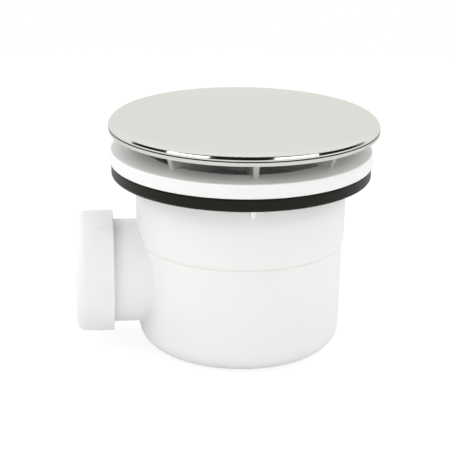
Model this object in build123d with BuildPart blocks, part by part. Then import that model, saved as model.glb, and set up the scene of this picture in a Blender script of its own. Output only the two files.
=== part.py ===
from build123d import *
import os

# Shower trap for a 90 mm tray hole, in millimetres.
# The pot stands on Z = 0 about the Z axis, and its outlet points along -X.

# Small radii on the corners that show; hidden corners are left sharp
EDGE_BREAK = 0.4
CORNER_ROOT = 0.8

# Overlap that fuses one form with the next
BITE = 0.5

# Pot: a moulded cup with a stepped wall, a clamping rim and a rounded foot
POT_FOOT_R = 43.55
POT_STEP_R = 44.0
POT_STEP_Z = 47.0
POT_STEP_LEDGE = 0.35
POT_STEP_RISE = 1.3
POT_STEP_OUT = 0.7
POT_TOP_R = 45.2
POT_WALL = 2.4
POT_FLOOR = 3.0
FOOT_ROUND = 9.0
GATE_PAD_R = 14.0
FOOT_RING_R = 31.0
FOOT_RECESS = 0.8
RIM_R = 53.2
RIM_Z = 76.4
RIM_THICK = 3.0
SCREW_R = 42.4
SCREW_GAP = 0.3
SCREW_FOOT_Z = 68.0
SCREW_RUNOUT = 2.0
GUSSET_THICK = 2.6
GUSSET_PROUD = 6.6
GUSSET_DROP = 5.7
GUSSET_DRAFT = 6.0
GUSSET_GAP = 0.2

# Outlet: distances are measured outwards from the pot's axis
OUTLET_Z = 32.2
NECK_R = 22.15
NECK_ROOT = 33.0
NECK_END = 55.6
NECK_ROUND = 1.6
SPIGOT_R = 23.9
SPIGOT_END = 66.5
SOCKET_R = 20.275
SOCKET_STOP = 47.0
WATERWAY_R = 18.6
SEAT_START = 62.0
SEAT_MOUTH_R = 22.6

# Slip nut and what it presses
NUT_START = 54.9
NUT_END = 71.0
NUT_R = 26.1
NUT_DRAFT = 0.2
NUT_ROUND = 4.2
NUT_BORE_R = 24.1
NUT_HOLE_R = 20.3
NUT_END_WALL = 2.8
GRIP_COUNT = 6
GRIP_TURN = 3.5
GRIP_WIDTH = 1.6
GRIP_PROUD = 0.3
GRIP_LENGTH = 7.0
GRIP_SET_BACK = 0.6
GRIP_DEPTH = 1.0
SEAL_TIP = 63.0
SEAL_BORE_R = 20.4
SEAL_FLANGE_R = 23.5
SEAL_FLANGE = 0.4
SLIP_RING_BORE_R = 20.6
SLIP_RING_R = 23.8

# Gasket: a channel section that grips the pot's rim
GASKET_R = 55.3
GASKET_LIP_UNDER = 1.2
GASKET_LIP_OVER = 1.5
GASKET_UNDER_R = 46.8
GASKET_OVER_R = 43.4
GASKET_ROUND = 1.2

# Waste flange: a clamping ring with a screwed throat
FLANGE_R = 55.8
FLANGE_DRAFT = 0.2
FLANGE_THICK = 5.9
THROAT_R = 39.6
THROAT_LIP = 2.4
THROAT_SEAT_DEPTH = 7.2
THROAT_LOW_R = 37.3
RECESS_IN_R = 46.8
RECESS_OUT_R = 51.8
RECESS_DEPTH = 3.0

# Dip tube: a bowl that seats in the throat, with a tube that dips below the water
COLLAR_R = 39.2
COLLAR_THICK = 2.0
COLLAR_FLAT = 2.6
PLUG_R = 37.0
PLUG_FOOT_Z = 70.4
BOWL_R = 32.8
BOWL_BRIM_DROP = 1.0
BOWL_FLOOR_Z = 72.2
BOWL_ROUND = 2.0
FUNNEL_MOUTH_Z = 69.4
FUNNEL_FOOT_Z = 67.0
FUNNEL_ROUND = 4.0
FUNNEL_ROOT = 2.5
GROOVE_R = 34.6
GROOVE_Z = 73.2
GROOVE_HEIGHT = 3.2
O_RING_R = 1.33
TUBE_R = 19.4
TUBE_BORE_R = 17.6
TUBE_FOOT_Z = 13.0
CLIP_Z = 40.0
CLIP_HEIGHT = 1.2
CLIP_PROUD = 0.7

# Seal cup: its rim stands 50 mm above the dip tube's lower edge
SEAL_DEPTH = 50.0
CUP_R = 36.0
CUP_FOOT_R = 34.6
CUP_FOOT_Z = 5.0
CUP_WALL = 1.8
CUP_ROUND = 6.0
RIB_COUNT = 4
RIB_THICK = 1.6
RIB_TOP_Z = 46.0
RIB_RISE = 6.0
RIB_LEAD = 1.0
RIB_LEDGE_R = 16.5
RIB_GAP = 0.05

# Cover: a low crown with a bevelled rim and a seam line, on fins that stand on the flange
COVER_R = 57.5
COVER_SLIDE = 1.0
COVER_GAP = 7.8
CROWN_RISE = 2.54
BEVEL_RUN = 1.3
BEVEL_DROP = 2.16
BEVEL_ROUND = 3.0
RIM_HEIGHT = 2.7
RIM_DRAFT = 0.2
RIM_WALL = 1.9
SEAM_RISE = 1.9
SEAM_WIDTH = 0.36
SEAM_DEPTH = 0.5
SHELL = 2.2
FIN_COUNT = 8
FIN_THICK = 2.3
FIN_DRAFT = 0.5
FIN_TOP_R = 48.9
FIN_FOOT_R = 46.2
FIN_GUIDE_R = 38.2
FIN_GUIDE_DEPTH = 4.4
FIN_GUIDE_TAPER = 0.6
HUB_R = 14.4
HUB_DRAFT = 0.5
HUB_WALL = 2.0
HUB_DEPTH = 6.8

# Heights that follow from the ones above
RIM_TOP_Z = RIM_Z + RIM_THICK
SEAT_Z = RIM_TOP_Z + GASKET_LIP_OVER
FLANGE_Z = SEAT_Z + FLANGE_THICK
COLLAR_Z = FLANGE_Z - THROAT_SEAT_DEPTH
WEIR_Z = TUBE_FOOT_Z + SEAL_DEPTH
COVER_Z = FLANGE_Z + COVER_GAP
SEAM_Z = COVER_Z + SEAM_RISE
BEVEL_Z = COVER_Z + RIM_HEIGHT
COVER_EDGE_Z = BEVEL_Z + BEVEL_DROP
CROWN_Z = COVER_EDGE_Z + CROWN_RISE

# Section planes and axes
section = Plane.XZ
outlet_axis = Axis((0, 0, OUTLET_Z), (-1, 0, 0))
outlet_section = Plane(origin=(0, 0, OUTLET_Z), x_dir=(-1, 0, 0), z_dir=(0, 1, 0))
cover_section = Plane(origin=(COVER_SLIDE, 0, 0), x_dir=(1, 0, 0), z_dir=(0, -1, 0))
cover_axis = Axis((COVER_SLIDE, 0, 0), (0, 0, 1))


def outlet_plane(distance):
    """Plane across the outlet at a distance from the pot's axis, facing outwards."""
    return Plane(origin=(-distance, 0, OUTLET_Z), x_dir=(0, 1, 0), z_dir=(-1, 0, 0))


os.makedirs("parts", exist_ok=True)

# Gussets of the pot, front and back, as one web that the hollow cuts in two
gusset_top_z = RIM_Z - GASKET_LIP_UNDER - GUSSET_GAP
with BuildPart() as gussets:
    with BuildSketch(Plane.YZ):
        with BuildLine():
            Polyline(
                (-POT_TOP_R - GUSSET_PROUD, gusset_top_z),
                (POT_TOP_R + GUSSET_PROUD, gusset_top_z),
                (POT_TOP_R - BITE, gusset_top_z - GUSSET_DROP - BITE),
                (-POT_TOP_R + BITE, gusset_top_z - GUSSET_DROP - BITE),
                close=True,
            )
        make_face()
    extrude(amount=GUSSET_THICK / 2, both=True)
    # Thinner towards the foot
    draft(gussets.faces().filter_by(Axis.X), Plane.XY.offset(gusset_top_z), -GUSSET_DRAFT)

# Pot
step_top_z = POT_STEP_Z + POT_STEP_RISE
step_top_r = POT_STEP_R + POT_STEP_OUT
lower_wall_slope = (POT_STEP_R - POT_FOOT_R) / POT_STEP_Z
with BuildPart() as trap_body:
    # Lower form: rounded foot and slightly conical wall
    with BuildSketch(section):
        with BuildLine():
            FilletPolyline(
                (0, 0),
                (POT_FOOT_R, 0),
                (POT_FOOT_R + lower_wall_slope * RIM_Z, RIM_Z),
                (0, RIM_Z),
                radius=[0, FOOT_ROUND, 0, 0],
                close=True,
            )
        make_face()
    revolve(axis=Axis.Z)
    # Neck of the outlet, blended into the wall
    with BuildSketch(outlet_plane(NECK_ROOT)):
        Circle(NECK_R)
    extrude(amount=NECK_END - NECK_ROOT)
    plain = (GeomType.CIRCLE, GeomType.LINE)
    junction = trap_body.edges().filter_by(lambda edge: edge.geom_type not in plain)
    fillet(junction, NECK_ROUND)
    # Upper band, stepped out from the wall, and the clamping rim
    with BuildSketch(section):
        with BuildLine():
            FilletPolyline(
                (NECK_ROOT, POT_STEP_Z),
                (POT_STEP_R + POT_STEP_LEDGE, POT_STEP_Z),
                (step_top_r, step_top_z),
                (POT_TOP_R, RIM_Z),
                (RIM_R, RIM_Z),
                (RIM_R, RIM_TOP_Z),
                (NECK_ROOT, RIM_TOP_Z),
                radius=[0, 0, EDGE_BREAK, CORNER_ROOT, 0, 0, 0],
                close=True,
            )
        make_face()
    revolve(axis=Axis.Z)
    # Screwed spigot under the nut
    with BuildSketch(outlet_plane(NECK_END)):
        Circle(SPIGOT_R)
    extrude(amount=SPIGOT_END - NECK_END)
    # Gussets under the rim
    add(gussets.part)
    # Hollow: water space below, screw thread zone above
    with BuildSketch(section):
        with BuildLine():
            FilletPolyline(
                (0, POT_FLOOR),
                (POT_FOOT_R - POT_WALL, POT_FLOOR),
                (POT_STEP_R - POT_WALL, SCREW_FOOT_Z - SCREW_RUNOUT),
                (SCREW_R + SCREW_GAP, SCREW_FOOT_Z - SCREW_RUNOUT / 2),
                (SCREW_R + SCREW_GAP, RIM_TOP_Z),
                (0, RIM_TOP_Z),
                radius=[0, FOOT_ROUND - POT_WALL, 0, 0, 0, 0],
                close=True,
            )
        make_face()
    revolve(axis=Axis.Z, mode=Mode.SUBTRACT)
    # Waterway, pipe socket with its stop, and the cone seat in the mouth
    with BuildSketch(outlet_section):
        with BuildLine():
            Polyline(
                (NECK_ROOT, 0),
                (NECK_ROOT, WATERWAY_R),
                (SOCKET_STOP, WATERWAY_R),
                (SOCKET_STOP, SOCKET_R),
                (SEAT_START, SOCKET_R),
                (SPIGOT_END, SEAT_MOUTH_R),
                (SPIGOT_END, 0),
                close=True,
            )
        make_face()
    revolve(axis=outlet_axis, mode=Mode.SUBTRACT)
    # Shallow recess between the gate pad and the foot ring
    with BuildSketch(Plane.XY):
        Circle(FOOT_RING_R)
        Circle(GATE_PAD_R, mode=Mode.SUBTRACT)
    extrude(amount=FOOT_RECESS, mode=Mode.SUBTRACT)
trap_body.part.label = "trap_body"
export_step(trap_body.part, "parts/trap_body.step")

# Gasket over the pot's rim
with BuildPart() as rim_gasket:
    with BuildSketch(section):
        with BuildLine():
            FilletPolyline(
                (GASKET_UNDER_R, RIM_Z - GASKET_LIP_UNDER),
                (GASKET_R, RIM_Z - GASKET_LIP_UNDER),
                (GASKET_R, SEAT_Z),
                (GASKET_OVER_R, SEAT_Z),
                (GASKET_OVER_R, RIM_TOP_Z),
                (RIM_R, RIM_TOP_Z),
                (RIM_R, RIM_Z),
                (GASKET_UNDER_R, RIM_Z),
                radius=[0, GASKET_ROUND, GASKET_ROUND, 0, 0, 0, 0, 0],
                close=True,
            )
        make_face()
    revolve(axis=Axis.Z)
rim_gasket.part.label = "rim_gasket"
export_step(rim_gasket.part, "parts/rim_gasket.step")

# Waste flange with its throat
with BuildPart() as waste_flange:
    with BuildSketch(section):
        with BuildLine():
            FilletPolyline(
                (FLANGE_R, SEAT_Z),
                (FLANGE_R - FLANGE_DRAFT, FLANGE_Z),
                (THROAT_R, FLANGE_Z),
                (THROAT_R, COLLAR_Z),
                (THROAT_LOW_R, COLLAR_Z),
                (THROAT_LOW_R, SCREW_FOOT_Z),
                (SCREW_R, SCREW_FOOT_Z),
                (SCREW_R, SEAT_Z),
                (RECESS_IN_R, SEAT_Z),
                (RECESS_IN_R, SEAT_Z + RECESS_DEPTH),
                (RECESS_OUT_R, SEAT_Z + RECESS_DEPTH),
                (RECESS_OUT_R, SEAT_Z),
                radius=[EDGE_BREAK, EDGE_BREAK, THROAT_LIP, 0, 0, 0, CORNER_ROOT, 0, 0, 0, 0, 0],
                close=True,
            )
        make_face()
    revolve(axis=Axis.Z)
waste_flange.part.label = "waste_flange"
export_step(waste_flange.part, "parts/waste_flange.step")

# Dip tube: collar, plug with its seal groove, funnel floor and tube
with BuildPart() as dip_tube:
    with BuildSketch(section):
        with BuildLine():
            FilletPolyline(
                (COLLAR_R - COLLAR_FLAT, COLLAR_Z + COLLAR_THICK),
                (COLLAR_R, COLLAR_Z + COLLAR_THICK),
                (COLLAR_R, COLLAR_Z),
                (PLUG_R, COLLAR_Z),
                (PLUG_R, GROOVE_Z + GROOVE_HEIGHT),
                (GROOVE_R, GROOVE_Z + GROOVE_HEIGHT),
                (GROOVE_R, GROOVE_Z),
                (PLUG_R, GROOVE_Z),
                (PLUG_R, PLUG_FOOT_Z),
                (TUBE_R, FUNNEL_FOOT_Z),
                (TUBE_R, TUBE_FOOT_Z),
                (TUBE_BORE_R, TUBE_FOOT_Z),
                (TUBE_BORE_R, FUNNEL_MOUTH_Z),
                (BOWL_R, BOWL_FLOOR_Z),
                (BOWL_R, COLLAR_Z - BOWL_BRIM_DROP),
                radius=[CORNER_ROOT, EDGE_BREAK, 0, 0, 0, 0, 0, 0, 0]
                + [FUNNEL_ROOT, 0, 0, FUNNEL_ROUND, BOWL_ROUND, BOWL_ROUND],
                close=True,
            )
        make_face()
    revolve(axis=Axis.Z)
    # Clip bead that the cup's ribs snap over
    with BuildSketch(section):
        with BuildLine():
            Polyline(
                (TUBE_R - BITE, CLIP_Z - CLIP_HEIGHT / 2),
                (TUBE_R, CLIP_Z - CLIP_HEIGHT / 2),
                (TUBE_R + CLIP_PROUD, CLIP_Z),
                (TUBE_R, CLIP_Z + CLIP_HEIGHT / 2),
                (TUBE_R - BITE, CLIP_Z + CLIP_HEIGHT / 2),
                close=True,
            )
        make_face()
    revolve(axis=Axis.Z)
dip_tube.part.label = "dip_tube"
export_step(dip_tube.part, "parts/dip_tube.step")

# Ring seal in the plug's groove, touching the throat
with BuildPart() as dip_tube_o_ring:
    with BuildSketch(section):
        with Locations((THROAT_LOW_R - O_RING_R, GROOVE_Z + GROOVE_HEIGHT / 2)):
            Circle(O_RING_R)
    revolve(axis=Axis.Z)
dip_tube_o_ring.part.label = "dip_tube_o_ring"
export_step(dip_tube_o_ring.part, "parts/dip_tube_o_ring.step")

# Seal cup, hung on the dip tube by its ribs
cup_floor_z = CUP_FOOT_Z + CUP_WALL
with BuildPart() as seal_cup:
    with BuildSketch(section):
        with BuildLine():
            FilletPolyline(
                (0, CUP_FOOT_Z),
                (CUP_FOOT_R, CUP_FOOT_Z),
                (CUP_R, WEIR_Z),
                (CUP_R - CUP_WALL, WEIR_Z),
                (CUP_FOOT_R - CUP_WALL, cup_floor_z),
                (0, cup_floor_z),
                radius=[0, CUP_ROUND, 0, 0, CUP_ROUND - CUP_WALL, 0],
                close=True,
            )
        make_face()
    revolve(axis=Axis.Z)
    # Ribs: a ledge under the tube's end and a notch that holds the clip bead
    rib_r = TUBE_R + RIB_GAP
    notch = CLIP_HEIGHT / 2 + RIB_GAP
    with BuildSketch(section) as rib_section:
        with BuildLine():
            Polyline(
                (RIB_LEDGE_R, cup_floor_z - BITE),
                (RIB_LEDGE_R, TUBE_FOOT_Z),
                (rib_r, TUBE_FOOT_Z),
                (rib_r, CLIP_Z - notch),
                (rib_r + CLIP_PROUD, CLIP_Z),
                (rib_r, CLIP_Z + notch),
                (rib_r, RIB_TOP_Z - RIB_LEAD),
                (rib_r + RIB_LEAD, RIB_TOP_Z),
                (CUP_R - CUP_WALL, RIB_TOP_Z + RIB_RISE),
                (CUP_FOOT_R - CUP_WALL + BITE, cup_floor_z + CUP_ROUND),
                (CUP_FOOT_R - CUP_ROUND, cup_floor_z - BITE),
                close=True,
            )
        make_face()
    with PolarLocations(0, RIB_COUNT):
        extrude(rib_section.sketch, amount=RIB_THICK / 2, both=True)
seal_cup.part.label = "seal_cup"
export_step(seal_cup.part, "parts/seal_cup.step")

# Slip nut with grip ridges on its pot side
with BuildPart() as outlet_nut:
    with BuildSketch(outlet_section):
        with BuildLine():
            FilletPolyline(
                (NUT_START, NUT_BORE_R),
                (NUT_START, NUT_R),
                (NUT_END, NUT_R - NUT_DRAFT),
                (NUT_END, NUT_HOLE_R),
                (NUT_END - NUT_END_WALL, NUT_HOLE_R),
                (NUT_END - NUT_END_WALL, NUT_BORE_R),
                radius=[0, EDGE_BREAK, NUT_ROUND, EDGE_BREAK, 0, 0],
                close=True,
            )
        make_face()
    revolve(axis=outlet_axis)
    with BuildSketch(outlet_plane(NUT_START + GRIP_SET_BACK)):
        with PolarLocations(NUT_R + GRIP_PROUD - GRIP_DEPTH / 2, GRIP_COUNT, start_angle=GRIP_TURN):
            Rectangle(GRIP_DEPTH, GRIP_WIDTH)
    extrude(amount=GRIP_LENGTH)
outlet_nut.part.label = "outlet_nut"
export_step(outlet_nut.part, "parts/outlet_nut.step")

# Slip ring between the seal and the nut's end wall
with BuildPart() as slip_ring:
    with BuildSketch(outlet_section):
        with BuildLine():
            Polyline(
                (SPIGOT_END + SEAL_FLANGE, SLIP_RING_BORE_R),
                (SPIGOT_END + SEAL_FLANGE, SLIP_RING_R),
                (NUT_END - NUT_END_WALL, SLIP_RING_R),
                (NUT_END - NUT_END_WALL, SLIP_RING_BORE_R),
                close=True,
            )
        make_face()
    revolve(axis=outlet_axis)
slip_ring.part.label = "slip_ring"
export_step(slip_ring.part, "parts/slip_ring.step")

# Cone seal in the spigot's mouth
seat_slope = (SEAT_MOUTH_R - SOCKET_R) / (SPIGOT_END - SEAT_START)
tip_r = SOCKET_R + seat_slope * (SEAL_TIP - SEAT_START)
with BuildPart() as cone_seal:
    with BuildSketch(outlet_section):
        with BuildLine():
            Polyline(
                (SEAL_TIP, SEAL_BORE_R),
                (SEAL_TIP, tip_r),
                (SPIGOT_END, SEAT_MOUTH_R),
                (SPIGOT_END, SEAL_FLANGE_R),
                (SPIGOT_END + SEAL_FLANGE, SEAL_FLANGE_R),
                (SPIGOT_END + SEAL_FLANGE, SEAL_BORE_R),
                close=True,
            )
        make_face()
    revolve(axis=outlet_axis)
cone_seal.part.label = "cone_seal"
export_step(cone_seal.part, "parts/cone_seal.step")

# One fin of the cover: it stands on the flange and guides the cover in the throat
fin_low_z = FLANGE_Z - FIN_GUIDE_DEPTH
hub_low_z = FLANGE_Z - HUB_DEPTH
with BuildPart() as fin:
    with BuildSketch(cover_section):
        with BuildLine():
            Polyline(
                (HUB_R - HUB_WALL + BITE, CROWN_Z - SHELL + BITE),
                (FIN_TOP_R, COVER_EDGE_Z - BITE),
                (FIN_TOP_R, COVER_Z),
                (FIN_FOOT_R, FLANGE_Z),
                (FIN_GUIDE_R, FLANGE_Z),
                (FIN_GUIDE_R - FIN_GUIDE_TAPER, fin_low_z),
                (HUB_R - HUB_WALL + BITE, hub_low_z + BITE),
                close=True,
            )
        make_face()
    extrude(amount=FIN_THICK / 2, both=True)
    # Thinner towards the foot, so that the moulding draws
    draft(fin.faces().filter_by(Axis.Y), Plane.XY.offset(COVER_Z), -FIN_DRAFT)

# Cover: crown, bevelled rim, hollow hub and fins in one moulding
with BuildPart() as dome_cover:
    with BuildSketch(cover_section) as cover_profile:
        with BuildLine():
            crown = TangentArc((0, CROWN_Z), (COVER_R - BEVEL_RUN, COVER_EDGE_Z), tangent=(1, 0))
            ceiling = TangentArc(
                (0, CROWN_Z - SHELL),
                (COVER_R - RIM_WALL, COVER_EDGE_Z - SHELL),
                tangent=(1, 0),
            )
            Polyline(
                crown @ 1,
                (COVER_R, BEVEL_Z),
                (COVER_R, SEAM_Z + SEAM_WIDTH / 2),
                (COVER_R - SEAM_DEPTH, SEAM_Z + SEAM_WIDTH / 2),
                (COVER_R - SEAM_DEPTH, SEAM_Z - SEAM_WIDTH / 2),
                (COVER_R, SEAM_Z - SEAM_WIDTH / 2),
                (COVER_R - RIM_DRAFT, COVER_Z),
                (COVER_R - RIM_DRAFT - RIM_WALL, COVER_Z),
                ceiling @ 1,
            )
            Line(ceiling @ 0, crown @ 0)
        make_face()
        fillet(cover_profile.vertices().sort_by_distance(crown @ 1)[0], BEVEL_ROUND)
        fillet(cover_profile.vertices().sort_by_distance((COVER_R, BEVEL_Z))[0], EDGE_BREAK)
        fillet(cover_profile.vertices().sort_by_distance((COVER_R, COVER_Z))[0], EDGE_BREAK)
        with BuildLine():
            Polyline(
                (HUB_R - HUB_WALL, CROWN_Z - SHELL / 2),
                (HUB_R, CROWN_Z - SHELL / 2),
                (HUB_R - HUB_DRAFT, hub_low_z),
                (HUB_R - HUB_DRAFT - HUB_WALL, hub_low_z),
                close=True,
            )
        make_face()
    revolve(axis=cover_axis)
    with Locations((COVER_SLIDE, 0, 0)):
        with PolarLocations(0, FIN_COUNT):
            add(fin.part.moved(Location((-COVER_SLIDE, 0, 0))))
dome_cover.part.label = "dome_cover"
export_step(dome_cover.part, "parts/dome_cover.step")
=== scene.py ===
# %% [markdown]
# # A shower trap under a studio light
# The trap sits under a shower tray: a chromed cover stands on a white clamping flange, a black
# gasket seals the tray, and a white pot below holds the water that keeps drain air out.
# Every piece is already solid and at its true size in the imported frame, in metres with Z up.
# This lesson leaves those shapes alone and gives them a camera, a studio and honest finishes.

# %% Load the frame and keep its box
import math

import bpy
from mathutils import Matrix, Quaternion, Vector


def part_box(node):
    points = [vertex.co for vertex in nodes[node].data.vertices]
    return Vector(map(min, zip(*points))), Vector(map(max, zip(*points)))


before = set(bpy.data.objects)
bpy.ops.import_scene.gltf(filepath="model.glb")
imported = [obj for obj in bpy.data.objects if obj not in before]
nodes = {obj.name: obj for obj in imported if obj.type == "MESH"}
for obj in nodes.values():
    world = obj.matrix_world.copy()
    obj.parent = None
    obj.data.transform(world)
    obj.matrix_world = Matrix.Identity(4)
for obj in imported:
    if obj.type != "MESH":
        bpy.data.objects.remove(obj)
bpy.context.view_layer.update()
MM = 0.001
print("pieces:", ", ".join(sorted(nodes)))

# %% [markdown]
# ## The camera
# The camera stands a little left of the front and looks down at the trap through a long lens,
# so the cover is a flat ellipse and the pot's sides stay almost parallel.
# A camera is easiest to place by a pivot, a bearing, a height angle and a distance. The aim is
# then moved a few millimetres off the pivot to set the framing, which needs no lens shift.

# %% Place the camera
PIVOT = Vector((0, 0, 50 * MM))
DISTANCE = 650 * MM
BEARING = math.radians(-6.14)
HEIGHT_ANGLE = math.radians(18.8)
ROLL = math.radians(0.78)
AIM_LEFT = 5.48 * MM
AIM_UP = 0.34 * MM
# Blender takes the sensor and the lens in millimetres
SENSOR_WIDTH = 36.0
FOCAL_LENGTH = 118.82


def heading(bearing, height):
    """The direction from the pivot at a bearing from the front and a height, in radians."""
    return Vector((
        math.sin(bearing) * math.cos(height),
        -math.cos(bearing) * math.cos(height),
        math.sin(height),
    ))


to_camera = heading(BEARING, HEIGHT_ANGLE)
level_turn = (-to_camera).to_track_quat("-Z", "Y")
rightward = level_turn @ Vector((1, 0, 0))
upward = level_turn @ Vector((0, 1, 0))
station = PIVOT + to_camera * DISTANCE
aim = PIVOT - rightward * AIM_LEFT + upward * AIM_UP
aimed_turn = (aim - station).to_track_quat("-Z", "Y")

lens = bpy.data.cameras.new("portrait_lens")
lens.sensor_width = SENSOR_WIDTH
lens.lens = FOCAL_LENGTH
camera = bpy.data.objects.new("portrait_camera", lens)
camera.location = station
camera.rotation_mode = "QUATERNION"
camera.rotation_quaternion = aimed_turn @ Quaternion((0, 0, 1), ROLL)
bpy.context.scene.collection.objects.link(camera)
bpy.context.scene.camera = camera
bpy.context.scene.view_settings.view_transform = "Standard"
print("camera at", [round(x, 4) for x in station])

# %% [markdown]
# ## Two small helpers
# Paint charts give colours as sRGB hex values, while shaders reckon in linear light. Linear
# numbers could be typed in, but a hex value is easier to picture, so one function turns the first
# into the second.
# Nodes could be made and wired line by line. Another function adds one with its settings and its
# inputs, which keeps every recipe below as short as its idea.

# %% Colour and node helpers
def linear(hex_colour):
    """An sRGB hex colour as the linear RGBA that a shader expects, by the standard's curve."""
    shares = [int(hex_colour[i:i + 2], 16) / 255 for i in (1, 3, 5)]
    return (*(s / 12.92 if s <= 0.04045 else ((s + 0.055) / 1.055) ** 2.4 for s in shares), 1.0)


def add_node(tree, kind, inputs=None, **settings):
    """A new node. Settings are its own fields. Inputs are values, or nodes and outputs to wire."""
    node = tree.nodes.new(kind)
    for field, value in settings.items():
        setattr(node, field, value)
    for socket, value in (inputs or {}).items():
        if isinstance(value, bpy.types.Node):
            value = next(output for output in value.outputs if output.enabled)
        if isinstance(value, bpy.types.NodeSocket):
            tree.links.new(value, node.inputs[socket])
        else:
            node.inputs[socket].default_value = value
    return node


print("mid grey #808080 is", round(linear("#808080")[0], 3), "in linear light")

# %% [markdown]
# ## The canopy over the object
# A white product is shot under white cloth, which lights it softly from above and behind. Chrome
# shows the studio itself, and in pure white it would vanish, so the camera's side is left open
# and dark. The bevelled rim of the cover turns that dark side into a black line, which ends where
# the backdrop's edges come into the mirror.
# The studio could be built from sheets, but it is drawn in the world's shader from the direction
# alone, which is quicker to move. The canopy is a round cap of directions about a point high up
# behind the object, and the backdrop is all that lies well behind it.

# %% Hang the canopy and the backdrop
CANOPY_BEARING = math.radians(175)
CANOPY_HEIGHT = math.radians(59.6)
# Degrees from the canopy's middle at which its soft edge begins and ends
CANOPY_SPREAD = (62.3, 58.3)
# How far back a direction points, from 0 to 1, where the backdrop's soft edge begins and ends
BACKDROP_EDGE = (0.37, 0.45)

studio = bpy.data.worlds.new("white_canopy")
studio.use_nodes = True
bpy.context.scene.world = studio
tree = studio.node_tree
tree.nodes.clear()
direction = add_node(tree, "ShaderNodeTexCoord").outputs["Generated"]
sides = add_node(tree, "ShaderNodeSeparateXYZ", {"Vector": direction}).outputs
towards_canopy = add_node(
    tree,
    "ShaderNodeVectorMath",
    {0: direction, 1: heading(CANOPY_BEARING, CANOPY_HEIGHT)},
    operation="DOT_PRODUCT",
)
canopy_edge = [math.cos(math.radians(spread)) for spread in CANOPY_SPREAD]
under_canopy = add_node(
    tree,
    "ShaderNodeMapRange",
    {"Value": towards_canopy, "From Min": canopy_edge[0], "From Max": canopy_edge[1]},
    interpolation_type="SMOOTHSTEP",
)
behind = add_node(
    tree,
    "ShaderNodeMapRange",
    {"Value": sides["Y"], "From Min": BACKDROP_EDGE[0], "From Max": BACKDROP_EDGE[1]},
    interpolation_type="SMOOTHSTEP",
)
cloth = add_node(tree, "ShaderNodeMath", {0: under_canopy, 1: behind}, operation="MAXIMUM")
print("canopy within", CANOPY_SPREAD[0], "degrees of a point behind and above")

# %% [markdown]
# ## The low band and the light of the studio
# Near the table a studio is pale all round, so a low band is bright on every side and the open
# side above it stays dark. The cover then reads as chrome from behind as well. A ring of lamps
# could do the same, but the world's shader has the height of every direction at hand.
# A strength of 1 renders as white, so nothing in this shader is brighter than that. What the
# camera sees past the object is plain white, by a switch on the rays that come from the camera.

# %% Light the studio
CANOPY_LIGHT = 1.0
TABLE_LIGHT = 0.92
OPEN_LIGHT = 0.016
SEEN_LIGHT = 1.0
CLOTH_WHITE = "#FFFFFF"
# Degrees above level at which the low band begins to fade in and is full
TABLE_HEIGHTS = (23.0, 8.0)

table_edge = [math.sin(math.radians(height)) for height in TABLE_HEIGHTS]
table = add_node(
    tree,
    "ShaderNodeMapRange",
    {
        "Value": sides["Z"],
        "From Min": table_edge[0],
        "From Max": table_edge[1],
        "To Min": OPEN_LIGHT,
        "To Max": TABLE_LIGHT,
    },
    interpolation_type="SMOOTHSTEP",
)
glow = add_node(tree, "ShaderNodeMix", {"Factor": cloth, "A": table, "B": CANOPY_LIGHT})
watched = add_node(tree, "ShaderNodeLightPath").outputs["Is Camera Ray"]
seen = add_node(tree, "ShaderNodeMix", {"Factor": watched, "A": glow, "B": SEEN_LIGHT})
backdrop = add_node(
    tree,
    "ShaderNodeBackground",
    {"Color": linear(CLOTH_WHITE), "Strength": seen},
)
add_node(tree, "ShaderNodeOutputWorld", {"Surface": backdrop})
print("studio light from", OPEN_LIGHT, "on the open side to", CANOPY_LIGHT, "on the canopy")

# %% [markdown]
# ## Soft boxes, boards and cloths
# A small lamp would throw hard shadows. One behind white cloth is broad beside the object, so its
# light wraps round. Two narrow soft boxes hang on the dark side, left and right of the camera,
# and each one cuts the rim's black line with a white dash. Two broad boards round them light the
# pot's front and the edge of the flange, while the low band of the studio reaches under the
# cover. Two cloths at the sides light the flange's top through the gap. Boards and cloths are
# kept out of the mirror, so the rest of the rim's line stays dark.
# A lamp's power is its radiance times pi times its area, so its brightness can be written down
# without regard to its size.

# %% Stand up the lamps
LAMP_DISTANCE = 900 * MM
# Bearings and heights are in degrees, and sizes in millimetres
LAMPS = {
    "left_soft_box": dict(bearing=-56, height=39, size=(550, 190), radiance=1.8, mirrored=True),
    "right_soft_box": dict(bearing=39, height=39, size=(630, 190), radiance=1.8, mirrored=True),
    "left_board": dict(bearing=-42, height=33, size=(900, 600), radiance=1.13, mirrored=False),
    "right_board": dict(bearing=32, height=33, size=(900, 600), radiance=0.88, mirrored=False),
    "left_cloth": dict(bearing=-96, height=36, size=(800, 600), radiance=1.1, mirrored=False),
    "right_cloth": dict(bearing=98, height=36, size=(800, 600), radiance=0.95, mirrored=False),
}

for name, setup in LAMPS.items():
    outward = heading(math.radians(setup["bearing"]), math.radians(setup["height"]))
    width, tall = (side * MM for side in setup["size"])
    lamp = bpy.data.lights.new(name, "AREA")
    lamp.shape = "RECTANGLE"
    lamp.size, lamp.size_y = width, tall
    lamp.energy = setup["radiance"] * math.pi * width * tall
    stand = bpy.data.objects.new(name, lamp)
    stand.location = PIVOT + outward * LAMP_DISTANCE
    stand.rotation_mode = "QUATERNION"
    stand.rotation_quaternion = (-outward).to_track_quat("-Z", "Y")
    stand.visible_camera = False
    stand.visible_glossy = setup["mirrored"]
    bpy.context.scene.collection.objects.link(stand)
    print(name, "gives", round(lamp.energy, 2), "W")

# %% [markdown]
# ## The paper floor
# The trap stands on a sheet of white paper. Its bounced light brightens the pot from below, so
# to that light the paper is a pale matt surface.
# A plain sheet would look quite white only in more light than the white pot can take. So to the
# camera it is a grey that glows, which lifts it to the white of the backdrop and leaves only a
# faint shadow at the foot. In mirrors it glows a little less, so that the cover's rim stays a
# shade darker than its top. From below it is clear, so the pot's foot can be looked at too.

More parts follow.
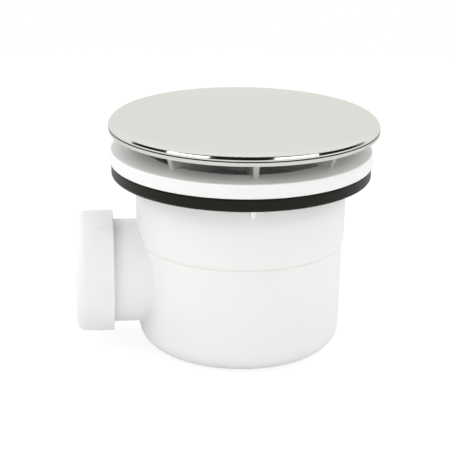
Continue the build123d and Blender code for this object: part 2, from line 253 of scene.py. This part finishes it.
# %% Mix the paper
PAPER = "#F1F1F0"
SHADOW_GREY = "#7C7C7C"
PAPER_GLOW = 0.85
MIRRORED_GLOW = 0.65

paper = bpy.data.materials.new("white_paper_matt")
paper.use_nodes = True
tree = paper.node_tree
tree.nodes.clear()
bounce = add_node(tree, "ShaderNodeBsdfDiffuse", {"Color": linear(PAPER)})
shade = add_node(tree, "ShaderNodeBsdfDiffuse", {"Color": linear(SHADOW_GREY)})
path = add_node(tree, "ShaderNodeLightPath").outputs
strength = add_node(
    tree,
    "ShaderNodeMix",
    {"Factor": path["Is Camera Ray"], "A": MIRRORED_GLOW, "B": PAPER_GLOW},
)
glow = add_node(tree, "ShaderNodeEmission", {"Strength": strength})
lifted = add_node(tree, "ShaderNodeAddShader", {0: shade, 1: glow})
mirrored = add_node(
    tree,
    "ShaderNodeMath",
    {0: path["Is Glossy Ray"], 1: path["Is Transmission Ray"]},
    operation="MAXIMUM",
)
watched = add_node(
    tree,
    "ShaderNodeMath",
    {0: mirrored, 1: path["Is Camera Ray"]},
    operation="MAXIMUM",
)
sheet = add_node(tree, "ShaderNodeMixShader", {0: watched, 1: bounce, 2: lifted})
underside = add_node(tree, "ShaderNodeNewGeometry").outputs["Backfacing"]
clear = add_node(tree, "ShaderNodeBsdfTransparent")
one_sided = add_node(tree, "ShaderNodeMixShader", {0: underside, 1: sheet, 2: clear})
add_node(tree, "ShaderNodeOutputMaterial", {"Surface": one_sided})
print(paper.name, "has", len(tree.nodes), "nodes")

# %% Lay the floor
FLOOR_RADIUS = 600 * MM
FLOOR_SIDES = 96

bpy.ops.mesh.primitive_circle_add(vertices=FLOOR_SIDES, radius=FLOOR_RADIUS, fill_type="NGON")
floor = bpy.context.object
floor.name = "paper_floor"
floor.data.materials.append(paper)
print("floor is", round(2 * FLOOR_RADIUS, 2), "m across")

# %% [markdown]
# ## A start for every finish
# Each finish below begins the same way: an empty node tree and the point on the object in metres.
# Painted images could carry the patterns, but every piece would have to be unwrapped for them. So
# the patterns are noises. A noise's scale counts grains per metre, and a grain that is so many
# millimetres wide has a scale of one divided by that width in metres.

# %% Finish helpers
def new_finish(name):
    """An empty material with its node tree and the object's own coordinates."""
    finish = bpy.data.materials.new(name)
    finish.use_nodes = True
    finish.node_tree.nodes.clear()
    place = add_node(finish.node_tree, "ShaderNodeTexCoord").outputs["Object"]
    return finish, finish.node_tree, place


def dress(finish, *names):
    """Puts one finish on the named pieces."""
    for name in names:
        nodes[name].data.materials.clear()
        nodes[name].data.materials.append(finish)
    print(finish.name, "on", ", ".join(names))


print(len(nodes), "pieces wait for a finish")

# %% [markdown]
# ## Painted shade under the pot's step
# Under the pot's step runs the line where two plates of its mould met. The step's small ledge
# keeps a thin band of the wall below it in shade, and that shade is painted, a little darker than
# the wall.
# A groove would show less than this painted shade does, so only the colour is set. The line is
# found by its height and by its distance from the pot's axis, which is the Z axis.

# %% Find the painted shade under the step
STEP_HEIGHT = 46.6 * MM
STEP_RADIUS = 44.0 * MM
LINE_HEIGHT = 0.8 * MM
# A point is on the wall within this much of the step's radius
LINE_DEPTH = 0.4 * MM
# A point times this keeps X and Y and loses Z
LEVEL = (1, 1, 0)

white_pp, tree, place = new_finish("white_moulded_polypropylene")
height = add_node(tree, "ShaderNodeSeparateXYZ", {"Vector": place}).outputs["Z"]
flat = add_node(tree, "ShaderNodeVectorMath", {0: place, 1: LEVEL}, operation="MULTIPLY")
reach = add_node(tree, "ShaderNodeVectorMath", {0: flat}, operation="LENGTH")
at_step = add_node(
    tree,
    "ShaderNodeMath",
    {0: height, 1: STEP_HEIGHT, 2: LINE_HEIGHT / 2},
    operation="COMPARE",
)
at_wall = add_node(
    tree,
    "ShaderNodeMath",
    {0: reach, 1: STEP_RADIUS, 2: LINE_DEPTH},
    operation="COMPARE",
)
# Where the step's shade is painted: a thin band of the wall just under its ledge
step_shade = add_node(tree, "ShaderNodeMath", {0: at_step, 1: at_wall}, operation="MULTIPLY")
print("parting line at", round(STEP_HEIGHT / MM, 1), "mm, tall", round(LINE_HEIGHT / MM, 1), "mm")

# %% [markdown]
# ## White moulded polypropylene
# Pot, flange and nut are injection-moulded polypropylene, white all the way through. The steel
# mould is smooth but not polished, so the skin has a soft, slightly waxy gloss. Melt that flowed
# round the outlet leaves broad clouds of a hardly different white, and the mould's spark-eroded
# skin leaves a very fine grain. Polypropylene has an IOR near 1.49. Light soaks a millimetre or
# two into it, which softens every shadow edge.
# A plain glossy white would look like enamel. So three noises of different widths vary colour,
# gloss and grain apart from each other, and subsurface light of a real depth does the soaking.

# %% Colour the polypropylene
PP_WHITES = ("#F1F1F0", "#EEEEED")
# A painted shade: the step ledge's shadow, as a white a little darker than the pot's
STEP_SHADE_GREY = "#E6E6E4"
CLOUD_WIDTH = 28 * MM

clouds = add_node(tree, "ShaderNodeTexNoise", {"Vector": place, "Scale": 1 / CLOUD_WIDTH})
white = add_node(
    tree,
    "ShaderNodeMix",
    {"Factor": clouds, "A": linear(PP_WHITES[0]), "B": linear(PP_WHITES[1])},
    data_type="RGBA",
)
# Paints the step's shade into the white
step_shaded_white = add_node(
    tree,
    "ShaderNodeMix",
    {"Factor": step_shade, "A": white, "B": linear(STEP_SHADE_GREY)},
    data_type="RGBA",
)
print("clouds of", " and ".join(PP_WHITES), "are", round(CLOUD_WIDTH / MM), "mm wide")

# %% Give the polypropylene its skin
PATCH_WIDTH = 9 * MM
PP_ROUGHNESS = (0.30, 0.46)
# The real grain is near 0.1 mm; it is drawn this coarse so that it shows
SKIN_WIDTH = 1.1 * MM
SKIN_DEPTH = 0.05 * MM
SKIN_STRENGTH = 0.10
PP_IOR = 1.49
PP_SOAK = 0.5
PP_SOAK_DEPTH = 1.5 * MM
# Red, green and blue light go equally deep
EVEN_SOAK = (1.0, 1.0, 1.0)

patches = add_node(tree, "ShaderNodeTexNoise", {"Vector": place, "Scale": 1 / PATCH_WIDTH})
skin = add_node(tree, "ShaderNodeTexNoise", {"Vector": place, "Scale": 1 / SKIN_WIDTH})
roughness = add_node(
    tree,
    "ShaderNodeMapRange",
    {"Value": patches, "To Min": PP_ROUGHNESS[0], "To Max": PP_ROUGHNESS[1]},
)
relief = add_node(
    tree,
    "ShaderNodeBump",
    {"Height": skin, "Strength": SKIN_STRENGTH, "Distance": SKIN_DEPTH},
)
shader = add_node(
    tree,
    "ShaderNodeBsdfPrincipled",
    {
        "Base Color": step_shaded_white,
        "Roughness": roughness,
        "IOR": PP_IOR,
        "Subsurface Weight": PP_SOAK,
        "Subsurface Radius": EVEN_SOAK,
        "Subsurface Scale": PP_SOAK_DEPTH,
        "Normal": relief,
    },
)
add_node(tree, "ShaderNodeOutputMaterial", {"Surface": shader})
dress(white_pp, "trap_body", "waste_flange", "outlet_nut")

# %% [markdown]
# ## Where the plating is thin
# The cover is ABS, plated with copper, nickel and a last skin of chromium. The current that lays
# the metal down hardly reaches into corners. On the fins, the hub and the shell's underside the
# plate is dull and so thin that the pale ABS half shows through. The fine seam round the rim is
# painted as a dark line, a painted shade for its groove and lips, with no metal there.
# They could be faces picked by hand, with materials of their own. Here one material finds both
# from the piece's own shape, which still works when the solid is built again: how far a point
# lies from the cover's axis, how high, and which way the surface faces.

# %% Find the seam
SEAM_DROP = 5.5 * MM
SEAM_DEPTH = 0.5 * MM
SEAM_WIDTH = 0.36 * MM
# In seam widths each way from its middle, so that the painted shade covers the groove's lips too
SEAM_SPREAD = 0.75

chrome, tree, place = new_finish("bright_chrome_plate_on_abs")
cover_low, cover_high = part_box("dome_cover")
cover_radius = (cover_high.x - cover_low.x) / 2
cover_axis = Vector(((cover_high.x + cover_low.x) / 2, 0, 0))
seam_z = cover_high.z - SEAM_DROP

from_axis = add_node(
    tree,
    "ShaderNodeVectorMath",
    {0: place, 1: cover_axis},
    operation="SUBTRACT",
)
flat = add_node(tree, "ShaderNodeVectorMath", {0: from_axis, 1: LEVEL}, operation="MULTIPLY")
reach = add_node(tree, "ShaderNodeVectorMath", {0: flat}, operation="LENGTH")
height = add_node(tree, "ShaderNodeSeparateXYZ", {"Vector": place}).outputs["Z"]
at_seam = add_node(
    tree,
    "ShaderNodeMath",
    {0: height, 1: seam_z, 2: SEAM_SPREAD * SEAM_WIDTH},
    operation="COMPARE",
)
in_groove = add_node(
    tree,
    "ShaderNodeMath",
    {0: reach, 1: cover_radius - SEAM_DEPTH / 2, 2: SEAM_DEPTH},
    operation="COMPARE",
)
# The painted shade of the seam's groove and its lips
seam = add_node(tree, "ShaderNodeMath", {0: at_seam, 1: in_groove}, operation="MULTIPLY")
print("seam at", round(seam_z / MM, 1), "mm, cover radius", round(cover_radius / MM, 1), "mm")

# %% Find the underside
RIM_WALL = 3.0 * MM
# A surface faces up where its normal's Z is above this, within 60 degrees of straight up
FACING_UP = 0.5

normal = add_node(tree, "ShaderNodeNewGeometry").outputs["Normal"]
lean = add_node(tree, "ShaderNodeSeparateXYZ", {"Vector": normal}).outputs["Z"]
not_up = add_node(tree, "ShaderNodeMath", {0: lean, 1: FACING_UP}, operation="LESS_THAN")
inside = add_node(
    tree,
    "ShaderNodeMath",
    {0: reach, 1: cover_radius - RIM_WALL},
    operation="LESS_THAN",
)
under = add_node(tree, "ShaderNodeMath", {0: not_up, 1: inside}, operation="MULTIPLY")
print("underside within", round((cover_radius - RIM_WALL) / MM, 1), "mm of the cover's axis")

# %% [markdown]
# ## Chrome plate on ABS
# Chromium is a slightly warm grey mirror. The plating follows the moulding, and its broad,
# shallow waves bend the reflections a little, which is what tells plated plastic from polished
# steel. Fine haze varies its gloss.
# A bare mirror would miss both, so a smooth noise bends the normal and a finer one varies colour
# and gloss. Towards a grazing view a metal's mirror turns paler, and the specular tint holds that
# back a little, as the thin grease film on a handled cover does.

# %% Colour the plating
PLATE_GREYS = ("#E2E3DE", "#DFE0DA")
THIN_PLATE_PALE = "#EEEEEA"
# A painted shade for the seam's groove and its lips
SEAM_SHADE_BLACK = "#14140F"
HAZE_WIDTH = 5 * MM
FULL_PLATE = 1.0
THIN_PLATE = 0.6

haze = add_node(tree, "ShaderNodeTexNoise", {"Vector": place, "Scale": 1 / HAZE_WIDTH})
plating = add_node(
    tree,
    "ShaderNodeMix",
    {"Factor": haze, "A": linear(PLATE_GREYS[0]), "B": linear(PLATE_GREYS[1])},
    data_type="RGBA",
)
with_underside = add_node(
    tree,
    "ShaderNodeMix",
    {"Factor": under, "A": plating, "B": linear(THIN_PLATE_PALE)},
    data_type="RGBA",
)
# Paints the seam's shade over the plating
with_seam_shade = add_node(
    tree,
    "ShaderNodeMix",
    {"Factor": seam, "A": with_underside, "B": linear(SEAM_SHADE_BLACK)},
    data_type="RGBA",
)
plate = add_node(
    tree,
    "ShaderNodeMath",
    {0: under, 1: THIN_PLATE - FULL_PLATE, 2: FULL_PLATE},
    operation="MULTIPLY_ADD",
)
# The seam's painted shade also has no metal, so it stays dark
plated = add_node(tree, "ShaderNodeMath", {0: plate, 1: seam}, operation="SUBTRACT")
print("plate is", FULL_PLATE, "outside,", THIN_PLATE, "underneath and none in the seam")

# %% Polish the plating
PLATE_ROUGHNESS = (0.03, 0.09)
DULLING = 0.4
GREASE_TINT = "#EFEFEC"
WAVE_WIDTH = 14 * MM
WAVE_HEIGHT = 0.2 * MM
WAVE_STRENGTH = 0.05
# The waves are smooth, with nothing finer on them
WAVE_DETAIL = 0.0

waves = add_node(
    tree,
    "ShaderNodeTexNoise",
    {"Vector": place, "Scale": 1 / WAVE_WIDTH, "Detail": WAVE_DETAIL},
)
relief = add_node(
    tree,
    "ShaderNodeBump",
    {"Height": waves, "Strength": WAVE_STRENGTH, "Distance": WAVE_HEIGHT},
)
polish = add_node(
    tree,
    "ShaderNodeMapRange",
    {"Value": haze, "To Min": PLATE_ROUGHNESS[0], "To Max": PLATE_ROUGHNESS[1]},
)
dull = add_node(tree, "ShaderNodeMath", {0: under, 1: seam}, operation="MAXIMUM")
roughness = add_node(
    tree,
    "ShaderNodeMath",
    {0: dull, 1: DULLING, 2: polish},
    operation="MULTIPLY_ADD",
)
shader = add_node(
    tree,
    "ShaderNodeBsdfPrincipled",
    {
        "Base Color": with_seam_shade,
        "Metallic": plated,
        "Roughness": roughness,
        "Specular Tint": linear(GREASE_TINT),
        "Normal": relief,
    },
)
add_node(tree, "ShaderNodeOutputMaterial", {"Surface": shader})
dress(chrome, "dome_cover")

# %% [markdown]
# ## Black EPDM rubber
# The gasket, the O-ring and the cone seal are moulded EPDM, a rubber that stands hot water and
# soap. Carbon black makes it a deep, slightly warm black. The surface is satin, with a fine grain
# from the mould and faint paler patches where wax has bloomed out.
# Colour and gloss could vary apart, but a bloomed patch is both paler and duller, so one noise
# drives the two. The grain's pores are a bump, because they are too small and too many for a mesh.
# They swallow part of the shine, so the specular level is about half of a smooth skin's.

# %% Black EPDM rubber
RUBBER_BLACKS = ("#0F0D05", "#131108")
BLOOM_WIDTH = 6 * MM
RUBBER_ROUGHNESS = (0.30, 0.46)
# The real pores are near 0.2 mm; they are drawn this coarse so that they show
PORE_WIDTH = 0.8 * MM
PORE_DEPTH = 0.08 * MM
PORE_STRENGTH = 0.2
RUBBER_IOR = 1.47
RUBBER_SHINE = 0.26

rubber, tree, place = new_finish("black_moulded_epdm_rubber")
bloom = add_node(tree, "ShaderNodeTexNoise", {"Vector": place, "Scale": 1 / BLOOM_WIDTH})
pores = add_node(tree, "ShaderNodeTexNoise", {"Vector": place, "Scale": 1 / PORE_WIDTH})
black = add_node(
    tree,
    "ShaderNodeMix",
    {"Factor": bloom, "A": linear(RUBBER_BLACKS[0]), "B": linear(RUBBER_BLACKS[1])},
    data_type="RGBA",
)
roughness = add_node(
    tree,
    "ShaderNodeMapRange",
    {"Value": bloom, "To Min": RUBBER_ROUGHNESS[0], "To Max": RUBBER_ROUGHNESS[1]},
)
relief = add_node(
    tree,
    "ShaderNodeBump",
    {"Height": pores, "Strength": PORE_STRENGTH, "Distance": PORE_DEPTH},
)
shader = add_node(
    tree,
    "ShaderNodeBsdfPrincipled",
    {
        "Base Color": black,
        "Roughness": roughness,
        "IOR": RUBBER_IOR,
        "Specular IOR Level": RUBBER_SHINE,
        "Normal": relief,
    },
)
add_node(tree, "ShaderNodeOutputMaterial", {"Surface": shader})
dress(rubber, "rim_gasket", "dip_tube_o_ring", "cone_seal")

# %% [markdown]
# ## Grey moulded polypropylene
# The dip tube and its cup lift out for cleaning. They are polypropylene too, dyed a cool light
# grey so that they can be told from the fixed pieces, and moulded with a plain satin skin.
# The white recipe could be used again in another colour. The dye hides the soaked light and the
# pieces sit deep in the pot, so this one leaves that out and lets one noise vary colour and gloss.

# %% Grey moulded polypropylene
PP_GREYS = ("#A9ACAF", "#A2A5A9")
GREY_CLOUD_WIDTH = 20 * MM
GREY_ROUGHNESS = (0.36, 0.54)
GREY_SKIN_DEPTH = 0.06 * MM
GREY_SKIN_STRENGTH = 0.15

grey_pp, tree, place = new_finish("grey_moulded_polypropylene")
clouds = add_node(tree, "ShaderNodeTexNoise", {"Vector": place, "Scale": 1 / GREY_CLOUD_WIDTH})
skin = add_node(tree, "ShaderNodeTexNoise", {"Vector": place, "Scale": 1 / SKIN_WIDTH})
grey = add_node(
    tree,
    "ShaderNodeMix",
    {"Factor": clouds, "A": linear(PP_GREYS[0]), "B": linear(PP_GREYS[1])},
    data_type="RGBA",
)
roughness = add_node(
    tree,
    "ShaderNodeMapRange",
    {"Value": clouds, "To Min": GREY_ROUGHNESS[0], "To Max": GREY_ROUGHNESS[1]},
)
relief = add_node(
    tree,
    "ShaderNodeBump",
    {"Height": skin, "Strength": GREY_SKIN_STRENGTH, "Distance": GREY_SKIN_DEPTH},
)
shader = add_node(
    tree,
    "ShaderNodeBsdfPrincipled",
    {"Base Color": grey, "Roughness": roughness, "IOR": PP_IOR, "Normal": relief},
)
add_node(tree, "ShaderNodeOutputMaterial", {"Surface": shader})
dress(grey_pp, "dip_tube", "seal_cup")

# %% [markdown]
# ## Natural polyethylene
# The slip ring lets the nut turn without dragging the rubber seal round. It is undyed
# polyethylene, milky and a little translucent, with the waxy, low gloss of that plastic.
# Transmission, as for glass, could let light through it, but that is slow and the ring is thin.
# Subsurface light of a short depth gives the same milk.

# %% Natural polyethylene
PE_MILKS = ("#EAEAE4", "#E2E3DC")
MILK_WIDTH = 7 * MM
PE_ROUGHNESS = (0.38, 0.56)
PE_SKIN_DEPTH = 0.05 * MM
PE_SKIN_STRENGTH = 0.12
PE_IOR = 1.51
PE_SOAK = 0.3
PE_SOAK_DEPTH = 0.8 * MM
# Blue light goes a little less deep than red and green, which leaves a trace of yellow
MILKY_SOAK = (1.0, 1.0, 0.9)

natural_pe, tree, place = new_finish("natural_moulded_polyethylene")
milk = add_node(tree, "ShaderNodeTexNoise", {"Vector": place, "Scale": 1 / MILK_WIDTH})
skin = add_node(tree, "ShaderNodeTexNoise", {"Vector": place, "Scale": 1 / SKIN_WIDTH})
milky = add_node(
    tree,
    "ShaderNodeMix",
    {"Factor": milk, "A": linear(PE_MILKS[0]), "B": linear(PE_MILKS[1])},
    data_type="RGBA",
)
roughness = add_node(
    tree,
    "ShaderNodeMapRange",
    {"Value": milk, "To Min": PE_ROUGHNESS[0], "To Max": PE_ROUGHNESS[1]},
)
relief = add_node(
    tree,
    "ShaderNodeBump",
    {"Height": skin, "Strength": PE_SKIN_STRENGTH, "Distance": PE_SKIN_DEPTH},
)
shader = add_node(
    tree,
    "ShaderNodeBsdfPrincipled",
    {
        "Base Color": milky,
        "Roughness": roughness,
        "IOR": PE_IOR,
        "Subsurface Weight": PE_SOAK,
        "Subsurface Radius": MILKY_SOAK,
        "Subsurface Scale": PE_SOAK_DEPTH,
        "Normal": relief,
    },
)
add_node(tree, "ShaderNodeOutputMaterial", {"Surface": shader})
dress(natural_pe, "slip_ring")
